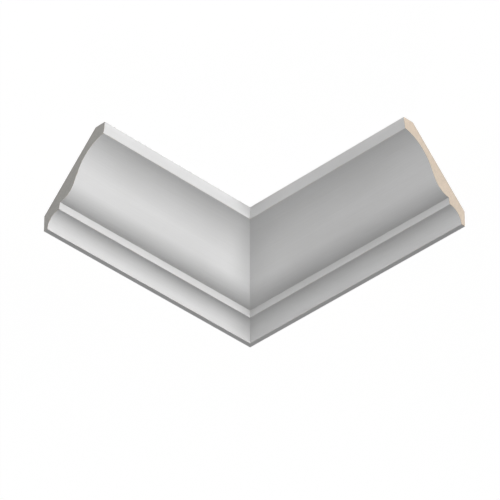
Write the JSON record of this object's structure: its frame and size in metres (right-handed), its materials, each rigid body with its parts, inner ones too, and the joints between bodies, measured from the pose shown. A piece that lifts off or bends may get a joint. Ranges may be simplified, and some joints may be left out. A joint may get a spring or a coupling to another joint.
{
  "type": "cornice moulding corner",
  "caption": "Inside corner of cornice moulding, with primed lengths of an S-curved section mitred together to cover the joint between wall and ceiling.",
  "frame": {"origin": "on the floor, in the middle of the area that the corner covers", "axes": "upside down, as it stands unheld: +Z runs from the ceiling lands up to the underside that a person in the room would see; the left length runs along X with its face towards -Y, and the right length runs along Y with its face towards +X"},
  "size_m": [0.2736, 0.2838, 0.0854],
  "materials": {
    "primed_fibreboard": "matte"
  },
  "bodies": {
    "root": {"left_length": "primed_fibreboard", "right_length": "primed_fibreboard"}
  },
  "joints": []
}
